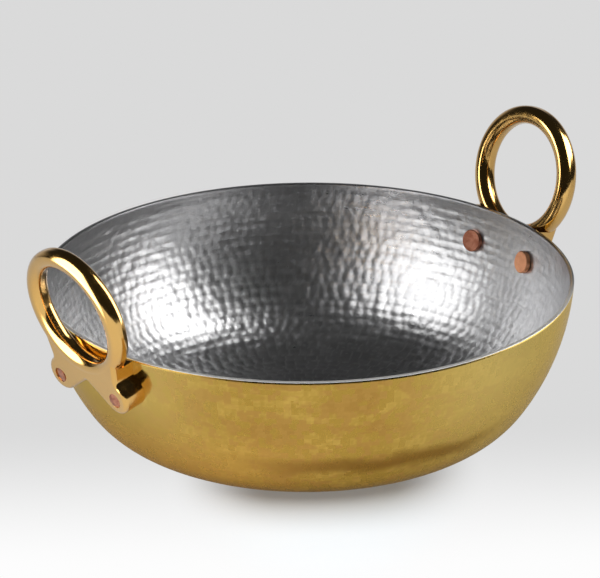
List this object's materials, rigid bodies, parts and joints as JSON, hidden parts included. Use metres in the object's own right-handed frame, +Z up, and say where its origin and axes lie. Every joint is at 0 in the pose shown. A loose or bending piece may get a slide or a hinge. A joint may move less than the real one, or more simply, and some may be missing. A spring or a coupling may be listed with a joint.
{
  "type": "kadai",
  "caption": "Round-sided hammered brass pan, tinned inside, with a flat base and upright cast ring handles riveted to opposite sides.",
  "frame": {"origin": "centre of the flat base, on the surface it stands on", "axes": "+Z up, +X through the right-hand handle, +Y to the back of the pan"},
  "size_m": [0.2946, 0.25, 0.1258],
  "materials": {
    "hammered_brass": "satin, hammered",
    "tin": "wiped tin over hammered dents",
    "polished_brass": "mirror polished",
    "copper": "satin copper"
  },
  "bodies": {
    "root": {"bowl": "hammered_brass", "tin_lining": "tin", "handle_left": "polished_brass", "handle_right": "polished_brass", "rivet_left_front": "copper", "rivet_left_back": "copper", "rivet_right_front": "copper", "rivet_right_back": "copper"}
  },
  "joints": []
}
